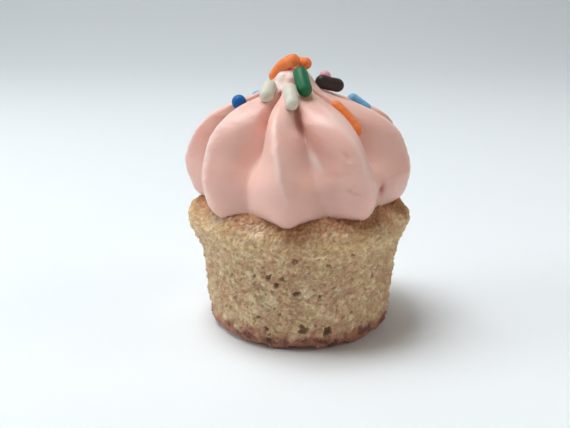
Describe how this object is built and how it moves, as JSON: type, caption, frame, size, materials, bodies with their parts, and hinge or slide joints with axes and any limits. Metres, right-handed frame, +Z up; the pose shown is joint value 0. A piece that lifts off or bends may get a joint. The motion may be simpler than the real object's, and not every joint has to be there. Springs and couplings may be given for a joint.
{
  "type": "frosted cupcake without a paper case",
  "caption": "Bite-size cupcake: a flared cake baked without a paper case, under a piped star swirl of pink frosting with scattered sugar sprinkles.",
  "frame": {"origin": "centre of the flat bottom, on the surface the cupcake stands on", "axes": "+Z up through the peak of the frosting, -Y towards the front, +X to the right of the front"},
  "size_m": [0.0434, 0.043, 0.05],
  "materials": {
    "cake": "open golden vanilla crumb on the wall, browner and slightly sugary on the domed crust, dark brown round the bottom edge; fully matte apart from small sugar glints",
    "frosting": "pale pink buttercream, smooth with fine drag lines and a few small pits, soft satin sheen, light passes a little way into it",
    "sprinkles": "waxy sugar rods with rounded ends in orange, white, green, blue, pink and dark brown, satin with soft highlights"
  },
  "bodies": {
    "root": {"cake": "cake", "frosting": "frosting"}
  },
  "joints": []
}
